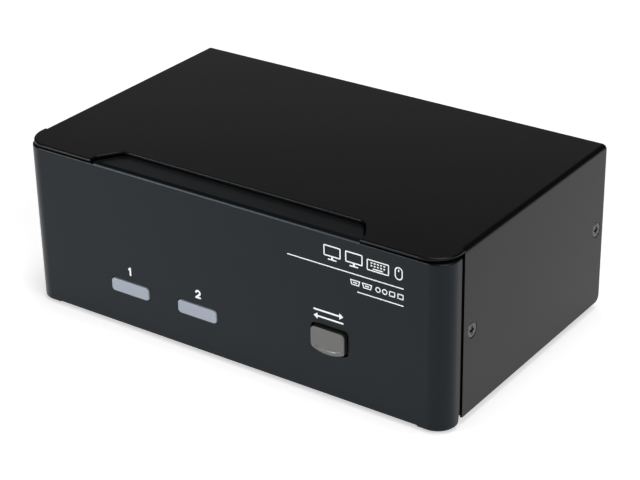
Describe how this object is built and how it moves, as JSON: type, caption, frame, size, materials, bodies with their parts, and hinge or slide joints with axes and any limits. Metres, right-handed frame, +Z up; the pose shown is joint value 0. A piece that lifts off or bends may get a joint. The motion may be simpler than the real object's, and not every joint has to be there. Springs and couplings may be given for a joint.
{
  "type": "kvm switch",
  "caption": "Desktop KVM switch: steel cover over a tray, plastic front with status windows and a select button, video, USB and audio sockets behind.",
  "frame": {"origin": "centre of the footprint, on the surface that the rubber feet stand on", "axes": "+Z up, +X towards the right-hand side seen from the front, +Y from the front panel to the rear sockets"},
  "size_m": [0.2, 0.1272, 0.073],
  "materials": {
    "cover_paint": "fine-textured satin black paint",
    "tray_paint": "fine-textured satin black paint",
    "bezel_plastic": "satin moulded, very slightly blue black",
    "button_plastic": "satin grey",
    "lens_plastic": "translucent, pale lilac grey",
    "black_plastic": "moulded black",
    "led_plastic": "cream reflector cup",
    "circuit_board": "green solder mask",
    "ribbon_sheath": "grey flat cable",
    "spacer_brass": "bright turned brass",
    "board_screw_zinc": "zinc-plated",
    "port_nickel": "nickel-plated shell",
    "jackscrew_nickel": "nickel-plated hexagon",
    "screw_steel": "dark nickel-plated",
    "foot_rubber": "moulded black rubber"
  },
  "bodies": {
    "casing": {"top_cover": "cover_paint", "chassis_tray": "tray_paint", "front_bezel": "bezel_plastic", "led_window_1": "lens_plastic", "led_window_2": "lens_plastic", "switch_body": "black_plastic", "status_led_1": "led_plastic", "status_led_2": "led_plastic", "front_board": "circuit_board", "front_header": "black_plastic", "ribbon_cable": "ribbon_sheath", "main_header": "black_plastic", "main_board": "circuit_board", "main_chip": "black_plastic", "video_board_a": "circuit_board", "board_link_a": "black_plastic", "video_board_b": "circuit_board", "board_link_b": "black_plastic", "spacer_a_1": "spacer_brass", "spacer_a_2": "spacer_brass", "spacer_b_1": "spacer_brass", "spacer_b_2": "spacer_brass", "board_screw_1": "board_screw_zinc", "board_screw_2": "board_screw_zinc", "dvi_console_a": "port_nickel", "dvi_console_b": "port_nickel", "dvi_pc_1_a": "port_nickel", "dvi_pc_1_b": "port_nickel", "dvi_pc_2_a": "port_nickel", "dvi_pc_2_b": "port_nickel", "jackscrew_console_a_1": "jackscrew_nickel", "jackscrew_console_a_2": "jackscrew_nickel", "jackscrew_console_b_1": "jackscrew_nickel", "jackscrew_console_b_2": "jackscrew_nickel", "jackscrew_pc_1_a_1": "jackscrew_nickel", "jackscrew_pc_1_a_2": "jackscrew_nickel", "jackscrew_pc_1_b_1": "jackscrew_nickel", "jackscrew_pc_1_b_2": "jackscrew_nickel", "jackscrew_pc_2_a_1": "jackscrew_nickel", "jackscrew_pc_2_a_2": "jackscrew_nickel", "jackscrew_pc_2_b_1": "jackscrew_nickel", "jackscrew_pc_2_b_2": "jackscrew_nickel", "audio_console": "black_plastic", "audio_pc_1": "black_plastic", "audio_pc_2": "black_plastic", "usb_stack_console": "port_nickel", "usb_pc_1": "port_nickel", "usb_pc_2": "port_nickel", "usb_stack_hub": "port_nickel", "dc_jack": "black_plastic", "cover_screw_1": "screw_steel", "cover_screw_2": "screw_steel", "cover_screw_3": "screw_steel", "cover_screw_4": "screw_steel", "rubber_foot_1": "foot_rubber", "rubber_foot_2": "foot_rubber", "rubber_foot_3": "foot_rubber", "rubber_foot_4": "foot_rubber"},
    "button": {"select_button": "button_plastic", "switch_plunger": "black_plastic"}
  },
  "joints": [
    {"name": "select_press", "type": "slide", "parent": "casing", "child": "button", "axis": [0, 1, 0], "range_m": [0, 0.0008], "stiffness_N_per_m": 600, "springref_m": -0.0015}
  ]
}
